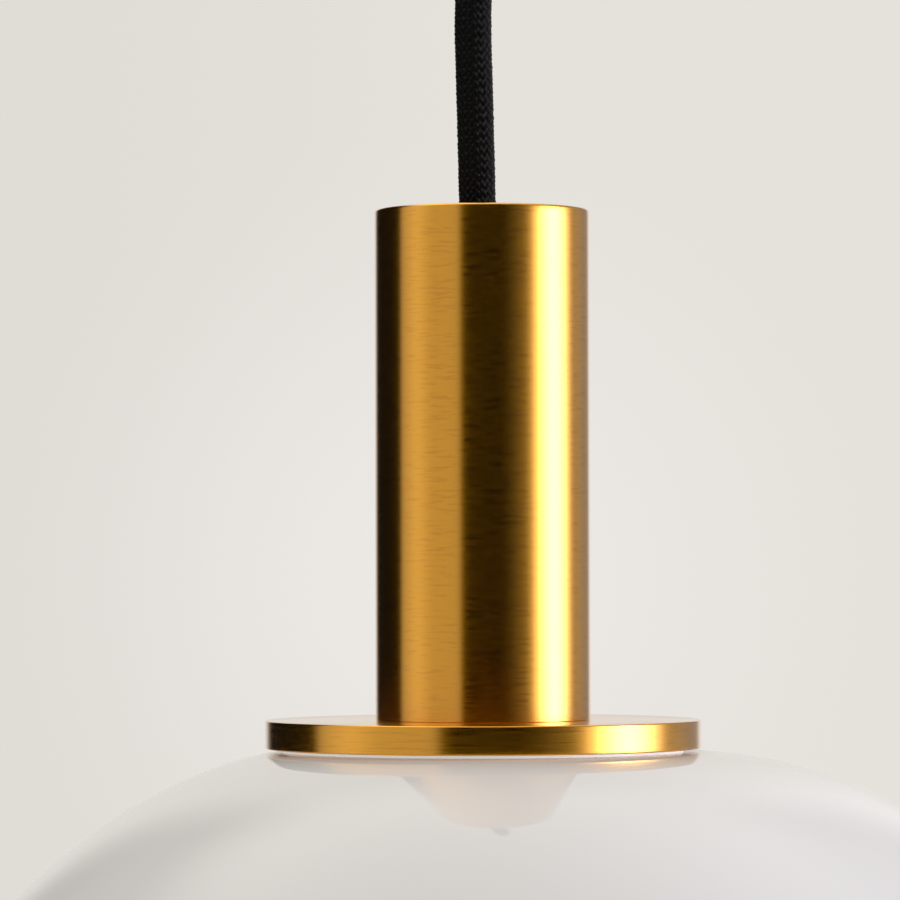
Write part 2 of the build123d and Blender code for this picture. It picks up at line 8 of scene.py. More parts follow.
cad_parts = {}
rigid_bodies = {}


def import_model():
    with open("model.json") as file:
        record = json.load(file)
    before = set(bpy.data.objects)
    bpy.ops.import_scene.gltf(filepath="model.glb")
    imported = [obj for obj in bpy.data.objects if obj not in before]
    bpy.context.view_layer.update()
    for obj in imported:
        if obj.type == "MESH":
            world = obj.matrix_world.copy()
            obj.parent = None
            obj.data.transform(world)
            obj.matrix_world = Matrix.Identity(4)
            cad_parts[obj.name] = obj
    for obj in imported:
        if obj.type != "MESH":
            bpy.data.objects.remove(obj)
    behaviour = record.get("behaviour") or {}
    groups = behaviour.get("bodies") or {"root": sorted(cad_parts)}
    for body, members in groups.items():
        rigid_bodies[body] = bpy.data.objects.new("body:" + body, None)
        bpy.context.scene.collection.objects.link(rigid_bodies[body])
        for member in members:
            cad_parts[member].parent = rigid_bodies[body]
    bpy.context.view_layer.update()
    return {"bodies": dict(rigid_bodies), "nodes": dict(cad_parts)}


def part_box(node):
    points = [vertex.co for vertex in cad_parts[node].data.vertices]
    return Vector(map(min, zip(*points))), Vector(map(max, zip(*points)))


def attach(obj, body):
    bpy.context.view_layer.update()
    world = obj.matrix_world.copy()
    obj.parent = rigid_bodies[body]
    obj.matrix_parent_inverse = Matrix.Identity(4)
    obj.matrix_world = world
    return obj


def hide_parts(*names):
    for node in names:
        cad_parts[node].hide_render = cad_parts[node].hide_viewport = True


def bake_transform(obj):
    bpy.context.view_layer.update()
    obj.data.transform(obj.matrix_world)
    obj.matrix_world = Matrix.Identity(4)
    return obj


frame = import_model()

MM = 0.001


# ---------------------------------------------------------------- camera
LENS_MM = 194.1
SENSOR_MM = 36.0
CAMERA_X = -6.33 * MM
CAMERA_Y = -947.8 * MM
CAMERA_OVER_DISC = 33.43 * MM
CAMERA_PITCH = math.radians(1.494)
CAMERA_ROLL = math.radians(-0.138)


def make_camera():
    """Long lens a little over the disc, looking slightly up."""
    forward = Vector((0, math.cos(CAMERA_PITCH), math.sin(CAMERA_PITCH)))
    level_right = Vector((1, 0, 0))
    level_up = level_right.cross(forward)
    right = level_right * math.cos(CAMERA_ROLL) + level_up * math.sin(CAMERA_ROLL)
    up = level_up * math.cos(CAMERA_ROLL) - level_right * math.sin(CAMERA_ROLL)
    data = bpy.data.cameras.new("camera")
    data.sensor_width = SENSOR_MM
    data.lens = LENS_MM
    data.clip_end = 100
    camera = bpy.data.objects.new("camera", data)
    bpy.context.scene.collection.objects.link(camera)
    turn = Matrix((right, up, -forward)).transposed()
    place = Vector((CAMERA_X, CAMERA_Y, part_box("disc")[0].z + CAMERA_OVER_DISC))
    camera.matrix_world = Matrix.Translation(place) @ turn.to_4x4()
    bpy.context.scene.camera = camera


make_camera()


# ---------------------------------------------------------------- node helpers
class Nodes:
    """Short names for building a node tree."""

    def __init__(self, tree):
        self.tree = tree
        tree.nodes.clear()

    def put(self, socket, value):
        if isinstance(value, bpy.types.NodeSocket):
            self.tree.links.new(value, socket)
        else:
            socket.default_value = value

    def node(self, kind, inputs=(), **settings):
        made = self.tree.nodes.new(kind)
        for name, value in settings.items():
            setattr(made, name, value)
        for name, value in dict(inputs).items():
            self.put(made.inputs[name], value)
        return made

    def math(self, operation, *values):
        made = self.node("ShaderNodeMath", operation=operation)
        for socket, value in zip(made.inputs, values):
            self.put(socket, value)
        return made.outputs[0]

    def total(self, *values):
        result = values[0]
        for value in values[1:]:
            result = self.math("ADD", result, value)
        return result

    def ramp(self, value, low, high, to_low=0.0, to_high=1.0, smooth=True):
        kind = "SMOOTHSTEP" if smooth else "LINEAR"
        made = self.node("ShaderNodeMapRange", interpolation_type=kind, clamp=True)
        for socket, number in zip(made.inputs, (value, low, high, to_low, to_high)):
            self.put(socket, number)
        return made.outputs[0]

    def mix(self, share, first, second):
        made = self.node("ShaderNodeMix", data_type="RGBA")
        self.put(made.inputs[0], share)
        self.put(made.inputs[6], first)
        self.put(made.inputs[7], second)
        return made.outputs[2]

    def length(self, across, along):
        square = self.math("MULTIPLY_ADD", across, across, self.math("MULTIPLY", along, along))
        return self.math("SQRT", square)

    def mix_shaders(self, share, first, second):
        made = self.node("ShaderNodeMixShader")
        for socket, value in zip(made.inputs, (share, first, second)):
            self.put(socket, value)
        return made.outputs[0]

    def noise(self, vector, scale, detail=2.0, roughness=0.5):
        inputs = {"Vector": vector, "Scale": scale, "Detail": detail, "Roughness": roughness}
        return self.node("ShaderNodeTexNoise", inputs).outputs[0]

    def xyz(self, vector):
        return self.node("ShaderNodeSeparateXYZ", {"Vector": vector}).outputs

    def vector(self, x, y, z):
        return self.node("ShaderNodeCombineXYZ", {"X": x, "Y": y, "Z": z}).outputs[0]

    def bump(self, height, strength, distance):
        inputs = {"Height": height, "Strength": strength, "Distance": distance}
        return self.node("ShaderNodeBump", inputs).outputs[0]


def rgb(red, green, blue):
    return (red, green, blue, 1.0)


def material(name, build):
    """A node material: build gets the helper and the object coordinates, and returns the
    shader's inputs by name."""
    made = bpy.data.materials.new(name)
    made.use_nodes = True
    nodes = Nodes(made.node_tree)
    place = nodes.node("ShaderNodeTexCoord").outputs["Object"]
    shader = nodes.node("ShaderNodeBsdfPrincipled", build(nodes, place))
    nodes.node("ShaderNodeOutputMaterial", {"Surface": shader.outputs[0]})
    return made


# ---------------------------------------------------------------- materials
BRASS_BASE = rgb(0.86, 0.395, 0.004)
BRASS_DEEP = rgb(0.78, 0.332, 0.002)
SMALLEST_RADIUS = 0.01 * MM


def turned_streaks(nodes, place, along, across):
    """Coordinates for noise drawn out round the vertical axis, as turning and brushing leave it."""
    x, y, z = nodes.xyz(place)
    radius = nodes.math("MAXIMUM", nodes.length(x, y), SMALLEST_RADIUS)
    scaled = nodes.math("DIVIDE", along, radius)
    height = nodes.math("MULTIPLY", nodes.math("ADD", z, radius), across)
    return nodes.vector(nodes.math("MULTIPLY", x, scaled), nodes.math("MULTIPLY", y, scaled), height)


def brushed_brass(nodes, place):
    """Lacquered brass: fine brushing, sparse longer scratches and a slight cloudiness."""
    fine = nodes.noise(turned_streaks(nodes, place, 6, 2600), 1, 3, 0.6)
    scratch = nodes.noise(turned_streaks(nodes, place, 5, 2600), 1, 1, 0.5)
    scratch = nodes.ramp(scratch, 0.52, 0.70, 1.0, 0.0)
    cloud = nodes.noise(place, 38, 3)
    streaks = nodes.total(nodes.math("MULTIPLY", fine, 0.75), nodes.math("MULTIPLY", scratch, 0.25))
    tone = nodes.math("MULTIPLY_ADD", cloud, 0.2, nodes.math("MULTIPLY", streaks, 0.8))
    tangent = nodes.node("ShaderNodeTangent", direction_type="RADIAL", axis="Z").outputs[0]
    return {
        "Base Color": nodes.mix(nodes.ramp(tone, 0.38, 0.62), BRASS_DEEP, BRASS_BASE),
        "Metallic": 1.0,
        "Roughness": nodes.ramp(streaks, 0.3, 0.7, 0.19, 0.27, smooth=False),
        "Anisotropic": 0.75,
        "Anisotropic Rotation": 0.25,
        "Tangent": tangent,
        "Coat Weight": 1.0,
        "Coat IOR": 1.64,
        "Coat Roughness": 0.13,
        "Normal": nodes.bump(streaks, 0.45, 0.00002),
    }


SEED_HEIGHT = 0.006


def opal_glass(nodes, place):
    """Glossy opal glass with slow waves from blowing and fine seeds."""
    cloud = nodes.noise(place, 14, 3)
    seeds = nodes.noise(place, 900, 1)
    waves = nodes.noise(place, 22, 1)
    ripple = nodes.math("MULTIPLY_ADD", seeds, SEED_HEIGHT, waves)
    return {
        "Base Color": nodes.mix(cloud, rgb(0.85, 0.84, 0.83), rgb(0.885, 0.88, 0.875)),
        "Roughness": nodes.ramp(cloud, 0.3, 0.7, 0.035, 0.06, smooth=False),
        "IOR": 1.5,
        "Normal": nodes.bump(ripple, 0.25, 0.0006),
    }


YARNS_PER_STRAND = 5
FUZZ_ACROSS = 14
FUZZ_ALONG = 90


def black_braid(nodes, place):
    """Black yarns side by side along each strand, with fuzz."""
    strand = nodes.node("ShaderNodeUVMap", uv_map="strand").outputs[0]
    across, along, _ = nodes.xyz(strand)
    wave = nodes.math("SINE", nodes.math("MULTIPLY", across, YARNS_PER_STRAND * math.pi))
    yarns = nodes.math("ABSOLUTE", wave)
    fuzz_across = nodes.math("MULTIPLY", across, FUZZ_ACROSS)
    fuzz_along = nodes.math("MULTIPLY", along, FUZZ_ALONG)
    fuzz = nodes.noise(nodes.vector(fuzz_across, fuzz_along, 0), 1, 3)
    shade = nodes.noise(place, 900, 2)
    height = nodes.total(yarns, nodes.math("MULTIPLY", fuzz, 0.5))
    return {
        "Base Color": nodes.mix(shade, rgb(0.0005, 0.0005, 0.0005), rgb(0.002, 0.002, 0.002)),
        "Roughness": nodes.ramp(fuzz, 0.3, 0.7, 0.2, 0.34, smooth=False),
        "Specular IOR Level": 0.12,
        "Normal": nodes.bump(height, 0.7, 0.00006),
    }


BRAID_STRANDS = 16
BRAID_PER_METRE = 3800


def fabric_plain(nodes, place):
    """The same black braid where it is hardly seen: crossing strands as bump."""
    x, y, z = nodes.xyz(place)
    turn = nodes.math("MULTIPLY", nodes.math("ARCTAN2", y, x), BRAID_STRANDS)
    rise = nodes.math("MULTIPLY", z, BRAID_PER_METRE)
    left = nodes.math("SINE", nodes.math("ADD", turn, rise))
    right = nodes.math("SINE", nodes.math("SUBTRACT", turn, rise))
    weave = nodes.math("MULTIPLY", left, right)
    fuzz = nodes.noise(place, 2500, 2)
    return {
        "Base Color": nodes.mix(fuzz, rgb(0.006, 0.006, 0.007), rgb(0.016, 0.016, 0.018)),
        "Roughness": nodes.ramp(fuzz, 0.3, 0.7, 0.5, 0.65, smooth=False),
        "Normal": nodes.bump(weave, 0.6, 0.0001),
    }


def moulded(light, dark, rough, grain=1500, bump=0.15):
    """A moulded plastic or rubber: slight mottling, fine spark-eroded grain."""

    def build(nodes, place):
        mottle = nodes.noise(place, 60, 3)
        skin = nodes.noise(place, grain, 2)
        return {
            "Base Color": nodes.mix(mottle, dark, light),
            "Roughness": nodes.ramp(skin, 0.3, 0.7, rough - 0.06, rough + 0.06, smooth=False),
            "Normal": nodes.bump(skin, bump, 0.00003),
        }

    return build


def metal(light, dark, rough, along=5, across=3000):
    """A plated or turned metal with faint marks round the axis and a mottled tone."""

    def build(nodes, place):
        marks = nodes.noise(turned_streaks(nodes, place, along, across), 1, 2)
        mottle = nodes.noise(place, 120, 3)
        return {
            "Base Color": nodes.mix(mottle, dark, light),
            "Metallic": 1.0,
            "Roughness": nodes.ramp(marks, 0.3, 0.7, rough - 0.05, rough + 0.07, smooth=False),
            "Normal": nodes.bump(marks, 0.25, 0.00002),
        }

    return build


def clear_glass(nodes, place):
    """Clear bulb glass with faint waves."""
    waves = nodes.noise(place, 40, 2)
    return {
        "Base Color": rgb(0.96, 0.97, 0.97),
        "Roughness": nodes.ramp(waves, 0.3, 0.7, 0.01, 0.03, smooth=False),
        "IOR": 1.5,
        "Transmission Weight": 1.0,
        "Normal": nodes.bump(waves, 0.1, 0.0004),
    }


def silicone_with_painted_glow(nodes, place):
    """Clear silicone with a painted glow: its emission lights the ring's edge, though the ring is no lamp.
    """
    mottle = nodes.noise(place, 180, 2)
    return {
        "Base Color": nodes.mix(mottle, rgb(0.90, 0.90, 0.88), rgb(0.95, 0.95, 0.93)),
        "Roughness": nodes.ramp(mottle, 0.3, 0.7, 0.32, 0.45, smooth=False),
        "IOR": 1.41,
        # Painted glow: emission that brightens the gap under the disc; the gasket is no lamp.
        "Emission Color": rgb(1.0, 0.96, 0.90),
        "Emission Strength": 0.45,
        "Normal": nodes.bump(mottle, 0.1, 0.0001),
    }


FINISHES = {
    "brushed_brass": brushed_brass,
    "zinc_steel": metal(rgb(0.62, 0.64, 0.66), rgb(0.48, 0.49, 0.52), 0.38, 2, 900),
    "green_screw": metal(rgb(0.06, 0.36, 0.12), rgb(0.04, 0.26, 0.09), 0.42),
    "white_nylon": moulded(rgb(0.84, 0.84, 0.80), rgb(0.76, 0.76, 0.71), 0.48),
    "black_fabric": fabric_plain,
    "lead_brown": moulded(rgb(0.22, 0.09, 0.035), rgb(0.16, 0.06, 0.025), 0.42),
    "lead_blue": moulded(rgb(0.03, 0.13, 0.48), rgb(0.02, 0.09, 0.36), 0.42),
    "lead_green": moulded(rgb(0.10, 0.42, 0.10), rgb(0.07, 0.32, 0.07), 0.42),
    "connector_plastic": moulded(rgb(0.72, 0.55, 0.28), rgb(0.62, 0.46, 0.22), 0.45),
    "black_plastic": moulded(rgb(0.022, 0.022, 0.024), rgb(0.014, 0.014, 0.015), 0.40),
    "white_ceramic": moulded(rgb(0.88, 0.87, 0.83), rgb(0.80, 0.79, 0.75), 0.16, 500, 0.08),
    "nickel_brass": metal(rgb(0.72, 0.68, 0.60), rgb(0.60, 0.56, 0.48), 0.28),
    "opal_glass": opal_glass,
    "clear_silicone": silicone_with_painted_glow,
    "white_rubber": moulded(rgb(0.80, 0.80, 0.77), rgb(0.70, 0.70, 0.67), 0.6),
    "solder": metal(rgb(0.66, 0.66, 0.66), rgb(0.46, 0.46, 0.47), 0.35, 2, 700),
    "black_glass": moulded(rgb(0.018, 0.018, 0.022), rgb(0.010, 0.010, 0.012), 0.12, 300, 0.05),
    "clear_glass": clear_glass,
    "phosphor": moulded(rgb(0.88, 0.62, 0.13), rgb(0.80, 0.52, 0.09), 0.5, 2500),
}
MATERIALS = {slot: material(slot, build) for slot, build in FINISHES.items()}
BRAID = material("black_braid", black_braid)


# ---------------------------------------------------------------- mesh helpers
SHARP_ANGLE = math.radians(32)


def mesh_object(name, points, faces, finish, smooth_angle=SHARP_ANGLE):
    """A linked mesh object with smooth faces, sharp only where faces meet steeply."""
    mesh = bpy.data.meshes.new(name)
    mesh.from_pydata(points, [], faces)
    mesh.polygons.foreach_set("use_smooth", [True] * len(mesh.polygons))
    mesh.set_sharp_from_angle(angle=smooth_angle)
    mesh.materials.append(finish)
    made = bpy.data.objects.new(name, mesh)
    bpy.context.scene.collection.objects.link(made)
    return made


def ring_faces(rows, columns):
    """Quads between rings of points; the last ring joins the first."""
    faces = []
    for row in range(rows):
        after = (row + 1) % rows
        for column in range(columns):
            side = (column + 1) % columns
            faces.append((row * columns + column, after * columns + column,
                          after * columns + side, row * columns + side))
    return faces


def lathe(name, profile, slot, body, replaced, segments):
    """A turned ring from its closed outline, given as (radius, height) round the section."""
    points = []
    for radius, height in profile:
        for step in range(segments):
            turn = 2 * math.pi * step / segments
            points.append((radius * math.cos(turn), radius * math.sin(turn), height))
    made = mesh_object(name, points, ring_faces(len(profile), segments), MATERIALS[slot])
    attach(made, body)
    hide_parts(replaced)


def corner(radius, height, size, start, steps=5):
    """Points of a rounded corner about a centre, from a start angle, clockwise by 90°."""
    found = []
    for step in range(steps + 1):
        turn = math.radians(start - 90 * step / steps)
        found.append((radius + size * math.cos(turn), height + size * math.sin(turn)))
    return found


# ---------------------------------------------------------------- cord
CORD_RADIUS = 3.7 * MM
# The route of the cord: from inside the grip's mouth to inside the sleeve's mouth.
CORD_ROUTE = [
    (0, 0, -42.5 * MM),
    (-0.1 * MM, 0, -50 * MM),
    (-1.0 * MM, 0, -60 * MM),
    (-1.75 * MM, 0, -72 * MM),
    (-1.35 * MM, 0, -86 * MM),
    (-1.05 * MM, 0, -99 * MM),
    (-0.82 * MM, 0, -111.5 * MM),
]
ROUTE_RESOLUTION = 60
STRAND_RISE = 1.65 * MM
STRAND_HALF_WIDTH = 0.56 * MM
STRAND_HALF_THICKNESS = 0.22 * MM
STRAND_WAVE = 0.13 * MM
STRAND_STEP = 0.14 * MM
STRAND_SIDES = 8
# Strands aren't laid evenly: each is shifted and sways by shares of the gap to the next one,
# and sinks a little here and there.
STRAND_SEED = 7
STRAND_START = (0, 6.28)
STRAND_SHIFT = 0.09
STRAND_SWAY = 0.07
SWAY_PACES = (0.9, 1.6)
STRAND_SAG = 0.07 * MM
SAG_PACE = 2.3
BRAID_SHARP_ANGLE = math.radians(60)
CORE_SIDES = 32
CORE_STEP = 4


def route_line(points):
    """Points along a smooth NURBS curve with these control points."""
    curve = bpy.data.curves.new("cord_route", "CURVE")
    curve.dimensions = "3D"
    curve.resolution_u = ROUTE_RESOLUTION
    spline = curve.splines.new("NURBS")
    spline.points.add(len(points) - 1)
    for point, place in zip(spline.points, points):
        point.co = (*place, 1)
    spline.order_u = 3
    spline.use_endpoint_u = True
    route = bpy.data.objects.new("cord_route", curve)
    mesh = bpy.data.meshes.new_from_object(route)
    line = np.array([vertex.co for vertex in mesh.vertices])
    bpy.data.meshes.remove(mesh)
    bpy.data.objects.remove(route)
    bpy.data.curves.remove(curve)
    return line


def respaced(line, step):
    """The line with points evenly spaced, and their distances along it."""
    gaps = np.linalg.norm(np.diff(line, axis=0), axis=1)
    along = np.concatenate([[0], np.cumsum(gaps)])
    places = np.linspace(0, along[-1], int(along[-1] / step) + 1)
    return np.stack([np.interp(places, along, line[:, axis]) for axis in range(3)], axis=1), places


def line_frames(line):
    """The direction of the line and the two directions across it, at each of its points."""
    along = np.gradient(line, axis=0)
    along /= np.linalg.norm(along, axis=1)[:, None]
    side = np.cross(np.array([0.0, 1.0, 0.0]), along)
    side /= np.linalg.norm(side, axis=1)[:, None]
    return along, side, np.cross(along, side)


class Strips:
    """Rings of points joined into closed tubes, with a place across and along for each point."""

    def __init__(self):
        self.points, self.faces, self.uv = [], [], []
        self.count = 0

    def add(self, rings, across, along):
        rows, columns = rings.shape[:2]
        start = self.count
        for row in range(rows - 1):
            low = start + row * columns
            for column in range(columns):
                after = (column + 1) % columns
                self.faces.append((low + column, low + after, low + columns + after, low + columns + column))
        last = start + (rows - 1) * columns
        self.faces.append(tuple(start + column for column in reversed(range(columns))))
        self.faces.append(tuple(last + column for column in range(columns)))
        self.points.append(rings.reshape(-1, 3))
        self.uv.append(np.stack([np.tile(across, rows), np.repeat(along[:rows], columns)], axis=1))
        self.count += rows * columns


def strand_rings(centres, places, frames, way, strand, uneven):
    """One strand of the cover, which winds one way and passes over and under the others."""
    up, side, front = frames
    spin = 2 * math.pi / BRAID_STRANDS / STRAND_RISE
    middle = CORD_RADIUS - STRAND_HALF_THICKNESS - STRAND_WAVE
    slope = middle * spin
    lean = math.sqrt(1 + slope * slope)
    shift = uneven.uniform(-STRAND_SHIFT, STRAND_SHIFT)
    start = uneven.uniform(*STRAND_START)
    pace = uneven.uniform(*SWAY_PACES)
    sway = shift + STRAND_SWAY * np.sin(start + pace * places / MM)
    lift = middle + way * STRAND_WAVE * np.cos(BRAID_STRANDS * spin * places)
    lift = lift - STRAND_SAG * (0.5 + 0.5 * np.sin(start + SAG_PACE * pace * places / MM))
    angle = 2 * math.pi * (strand + sway) / BRAID_STRANDS + way * spin * places
    out = side * np.cos(angle)[:, None] + front * np.sin(angle)[:, None]
    round_way = np.cross(up, out)
    round_way /= np.linalg.norm(round_way, axis=1)[:, None]
    wide = (round_way - way * slope * up) / lean
    turns = np.linspace(0, 2 * math.pi, STRAND_SIDES, endpoint=False)
    across = STRAND_HALF_WIDTH * np.cos(turns)
    outward = STRAND_HALF_THICKNESS * np.sin(turns) - across ** 2 / (2 * middle)
    rings = (centres + lift[:, None] * out)[:, None, :]
    rings = rings + across[None, :, None] * wide[:, None, :] + outward[None, :, None] * out[:, None, :]
    return rings, np.cos(turns) / 2 + 0.5


def make_cord():
    """A round cable in a woven cover: strands wind both ways, each over one and under one."""
    line = route_line(CORD_ROUTE)
    centres, places = respaced(line, STRAND_STEP)
    frames = line_frames(centres)
    along = places / STRAND_RISE
    uneven = np.random.default_rng(STRAND_SEED)
    strips = Strips()
    for way in (1, -1):
        for strand in range(BRAID_STRANDS):
            rings, across = strand_rings(centres, places, frames, way, strand, uneven)
            strips.add(rings, across, along)
    core = CORD_RADIUS - 2 * STRAND_HALF_THICKNESS - STRAND_WAVE
    turns = np.linspace(0, 2 * math.pi, CORE_SIDES, endpoint=False)
    _, side, front = (direction[::CORE_STEP, None, :] for direction in frames)
    out = np.cos(turns)[None, :, None] * side + np.sin(turns)[None, :, None] * front
    strips.add(centres[::CORE_STEP, None, :] + core * out, turns / math.pi, along)

    points = [tuple(point) for point in np.concatenate(strips.points)]
    made = mesh_object("cord_braid", points, strips.faces, BRAID, BRAID_SHARP_ANGLE)
    layer = made.data.uv_layers.new(name="strand")
    corners = np.zeros(len(made.data.loops), int)
    made.data.loops.foreach_get("vertex_index", corners)
    layer.data.foreach_set("uv", np.concatenate(strips.uv)[corners].ravel())
    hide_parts("cord")
    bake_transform(made)


make_cord()


# ---------------------------------------------------------------- shade
GLASS_WALL = 3 * MM
GLASS_DEPTH_RATIO = 0.965
GLASS_HOLE_R = 22.6 * MM
GLASS_COLUMNS = 288
GLASS_ROWS = 150
SEAT_ROWS = 9
FOOT_ROWS = 8
# Half width, how far the middle stands to the +X side, and depth below the flat top, in mm.
GLASS_OUTLINE = [
    (41.0, 1.0, 0.0),
    (50.0, 3.4, 1.2),
    (60.0, 5.2, 4.0),
    (75.5, 6.0, 11.3),
    (97.8, 6.0, 29.1),
    (121.0, 4.6, 61.0),
    (135.0, 1.2, 102.0),
    (131.5, -3.2, 146.0),
    (111.0, -5.6, 184.0),
    (85.0, -5.0, 206.0),
    (60.0, -3.6, 218.0),
]


def smooth_through(points, count):
    """A natural cubic spline through the points, by distance along them."""
    points = np.array(points, float)
    gaps = np.linalg.norm(np.diff(points, axis=0), axis=1)
    knots = np.concatenate([[0], np.cumsum(gaps)])
    size = len(points)
    system = np.zeros((size, size))
    wanted = np.zeros((size, points.shape[1]))
    system[0, 0] = system[-1, -1] = 1
    for row in range(1, size - 1):
        before, after = gaps[row - 1], gaps[row]
        system[row, row - 1: row + 2] = before, 2 * (before + after), after
        rise_after = (points[row + 1] - points[row]) / after
        rise_before = (points[row] - points[row - 1]) / before
        wanted[row] = 6 * (rise_after - rise_before)
    bend = np.linalg.solve(system, wanted)
    found = []
    for place in np.linspace(0, knots[-1], count):
        part = min(int(np.searchsorted(knots, place, side="right")) - 1, size - 2)
        gap = gaps[part]
        left, right = (knots[part + 1] - place) / gap, (place - knots[part]) / gap
        curve = (left ** 3 - left) * bend[part] + (right ** 3 - right) * bend[part + 1]
        found.append(left * points[part] + right * points[part + 1] + curve * gap ** 2 / 6)
    return np.array(found)


def make_shade():
    """Blown opal shade: a lopsided oval shell with a flat seat, a hole and a rounded foot."""
    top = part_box("glass_shade")[1].z
    outline = smooth_through(GLASS_OUTLINE, GLASS_ROWS) * MM
    width, middle, height = outline[:, 0], outline[:, 1], -outline[:, 2]
    run = np.stack([np.gradient(width), np.gradient(height)], axis=1)
    run /= np.linalg.norm(run, axis=1)[:, None]
    inner_width = width + GLASS_WALL * run[:, 1]
    inner_height = height - GLASS_WALL * run[:, 0]
    seat = np.linspace(GLASS_HOLE_R, width[0], SEAT_ROWS)
    rows = []

    def add(half_width, shift, level, ratio=GLASS_DEPTH_RATIO):
        rows.append((half_width, half_width * ratio, shift, level))

    def add_seat(radii, level):
        for radius in radii:
            share = (radius - seat[0]) / (seat[-1] - seat[0])
            add(radius, middle[0] * share, level, 1 + (GLASS_DEPTH_RATIO - 1) * share)

    add_seat(seat[:-1], height[0])
    for place in range(GLASS_ROWS):
        add(width[place], middle[place], height[place])
    foot = np.array([width[-1] + inner_width[-1], height[-1] + inner_height[-1]]) / 2
    half = np.array([width[-1] - inner_width[-1], height[-1] - inner_height[-1]]) / 2
    for step in range(1, FOOT_ROWS):
        turn = math.pi * step / FOOT_ROWS
        edge = foot + half * math.cos(turn) + run[-1] * GLASS_WALL / 2 * math.sin(turn)
        add(edge[0], middle[-1], edge[1])
    for place in reversed(range(GLASS_ROWS)):
        add(inner_width[place], middle[place], inner_height[place])
    add_seat(seat[::-1][1:], height[0] - GLASS_WALL)

    points = []
    for half_width, half_depth, shift, level in rows:
        for column in range(GLASS_COLUMNS):
            turn = 2 * math.pi * column / GLASS_COLUMNS
            across, deep = shift + half_width * math.cos(turn), half_depth * math.sin(turn)
            points.append((across, deep, top + level))
    faces = ring_faces(len(rows), GLASS_COLUMNS)
    made = mesh_object("opal_shade", points, faces, MATERIALS["opal_glass"])
    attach(made, "shade")
    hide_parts("glass_shade")


make_shade()


# ---------------------------------------------------------------- turned brass
BROKEN_EDGE = 0.2 * MM
SLEEVE_FOOT_EDGE = 0.12 * MM
GRIP_EDGE = 0.35 * MM


def make_sleeve():
    """Brass sleeve: a tube closed at the top by a plate with the bush hole."""
    low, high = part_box("sleeve")
    outer, wall, plate, hole, edge = high.x, 1 * MM, 2 * MM, 8 * MM, 0.5 * MM
    top_row, side_row = outer - 4 * MM, 2 * MM
    lathe("brass_sleeve", [
        (hole, high.z - BROKEN_EDGE),
        (hole + BROKEN_EDGE, high.z),
        (top_row, high.z),
        *corner(outer - edge, high.z - edge, edge, 90),
        (outer, high.z - side_row),
        (outer, low.z + side_row),
        (outer, low.z + SLEEVE_FOOT_EDGE),
        (outer - SLEEVE_FOOT_EDGE, low.z),
        (outer - wall, low.z),
        (outer - wall, high.z - plate),
        (hole, high.z - plate),
    ], "brushed_brass", "lamp", "sleeve", 256)


def make_disc():
    """Flat brass disc with crisp, slightly broken edges."""
    low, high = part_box("disc")
    outer, hole, edge = high.x, 18.3 * MM, 0.25 * MM
    face_row, side_row = outer - 8 * MM, 1 * MM
    lathe("brass_disc", [
        (hole, high.z),
        (face_row, high.z),
        *corner(outer - edge, high.z - edge, edge, 90, 4),
        (outer, high.z - side_row),
        (outer, low.z + side_row),
        *corner(outer - edge, low.z + edge, edge, 0, 4),
        (face_row, low.z),
        (hole, low.z),
    ], "brushed_brass", "lamp", "disc", 320)


def make_canopy():
    """Spun brass cup against the ceiling."""
    low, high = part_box("canopy")
    outer, wall, edge, hole = high.x, 1.2 * MM, 3 * MM, 5.15 * MM
    face_row, side_row = outer - 10 * MM, 8 * MM
    inside = corner(outer - edge, low.z + edge, edge - wall, 0, 6)
    lathe("brass_canopy", [
        (outer - wall, high.z),
        (outer - BROKEN_EDGE, high.z),
        (outer, high.z - BROKEN_EDGE),
        (outer, low.z + side_row),
        *corner(outer - edge, low.z + edge, edge, 0, 10),
        (face_row, low.z),
        (hole + BROKEN_EDGE, low.z),
        (hole, low.z + BROKEN_EDGE),
        (hole, low.z + wall),
        *reversed(inside),
    ], "brushed_brass", "ceiling", "canopy", 320)


def make_grip():
    """The cord grip's turned body and its rounded cap."""
    body_low, body_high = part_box("cord_grip_body")
    canopy_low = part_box("canopy")[0].z
    cap_low, cap_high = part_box("cord_grip_cap")
    bore, stud, body, collar, taper = 4.1 * MM, 5 * MM, body_high.x, 7 * MM, 1.6 * MM
    shoulder = cap_high.z + 0.3 * MM
    lathe("brass_grip_body", [
        (bore, body_high.z),
        (stud, body_high.z),
        (stud, canopy_low),
        (body - GRIP_EDGE, canopy_low),
        (body, canopy_low - GRIP_EDGE),
        (body, shoulder + GRIP_EDGE),
        (body - GRIP_EDGE, shoulder),
        (collar, shoulder),
        (collar, body_low.z),
        (bore + taper, body_low.z),
        (bore, body_low.z + taper),
    ], "brushed_brass", "ceiling", "cord_grip_body", 128)
    cap, mouth, lip, edge = cap_high.x, 4.6 * MM, 3 * MM, 1 * MM
    thread = collar + 0.05 * MM
    lathe("brass_grip_cap", [
        (thread, cap_high.z),
        (cap - GRIP_EDGE, cap_high.z),
        (cap, cap_high.z - GRIP_EDGE),
        *corner(cap - edge, cap_low.z + edge, edge, 0, 8),
        *corner(mouth + edge, cap_low.z + edge, edge, 270, 6),
        (mouth, cap_low.z + lip),
        (thread, cap_low.z + lip),
    ], "brushed_brass", "ceiling", "cord_grip_cap", 128)


def make_bush():
    """Black bush in the sleeve's top, with a rounded mouth."""
    low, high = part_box("sleeve_bush")
    neck, flange, bore, edge, bevel = 7.95 * MM, high.x, 4.7 * MM, 1 * MM, 0.3 * MM
    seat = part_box("sleeve")[1].z - 2.05 * MM
    lathe("black_bush", [
        (bore, low.z),
        *corner(bore + edge, high.z - edge, edge, 180, 6),
        (neck - bevel, high.z),
        (neck, high.z - bevel),
        (neck, seat),
        (flange, seat),
        (flange, low.z),
    ], "black_plastic", "bush", "sleeve_bush", 128)


make_sleeve()
make_disc()
make_canopy()
make_grip()
make_bush()


